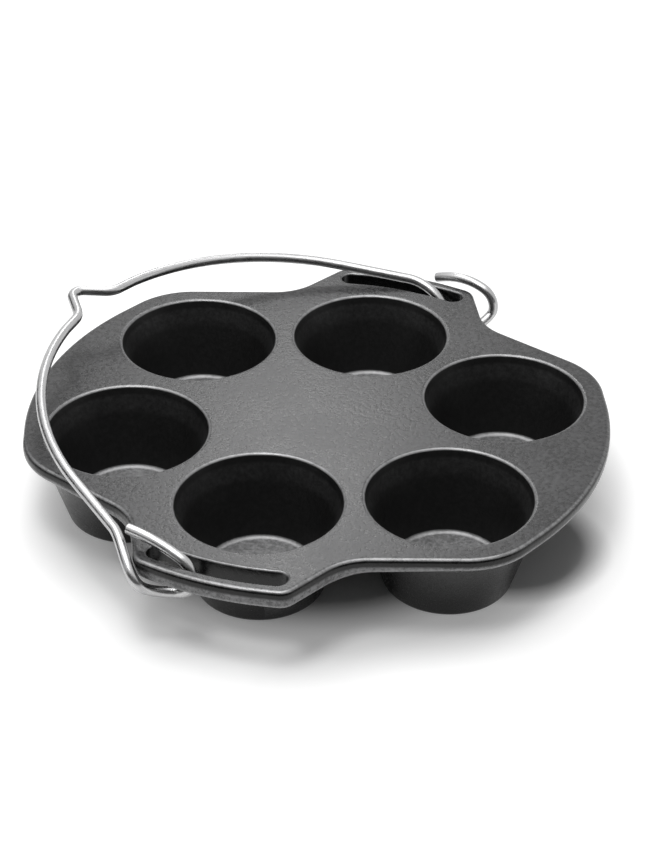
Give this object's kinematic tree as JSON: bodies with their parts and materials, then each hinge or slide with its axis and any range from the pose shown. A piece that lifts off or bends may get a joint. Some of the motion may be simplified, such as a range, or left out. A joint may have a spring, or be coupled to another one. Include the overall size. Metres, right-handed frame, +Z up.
{
  "type": "cast iron muffin pan",
  "caption": "Cast iron muffin pan: a flat waisted deck with deep tapered cups, a slotted lug at each end and a bent-wire bail that swings over it.",
  "frame": {"origin": "middle of the deck's top face, between the cups", "axes": "+Z up, out of the cups; +Y towards the far lug; the bail lies back towards -X"},
  "size_m": [0.282, 0.2906, 0.071],
  "materials": {
    "seasoned_iron": "seasoned, satin, with a fine sand-cast grain",
    "bright_steel": "bright drawn wire with cut ends"
  },
  "bodies": {
    "pan": {"pan_casting": "seasoned_iron"},
    "bail": {"bail_handle": "bright_steel"}
  },
  "joints": [
    {"name": "bail_swing", "type": "hinge", "parent": "pan", "child": "bail", "pos_m": [0, 0, -0.0009], "axis": [0.2062, 0.9785, 0], "range_deg": [0, 90]}
  ]
}
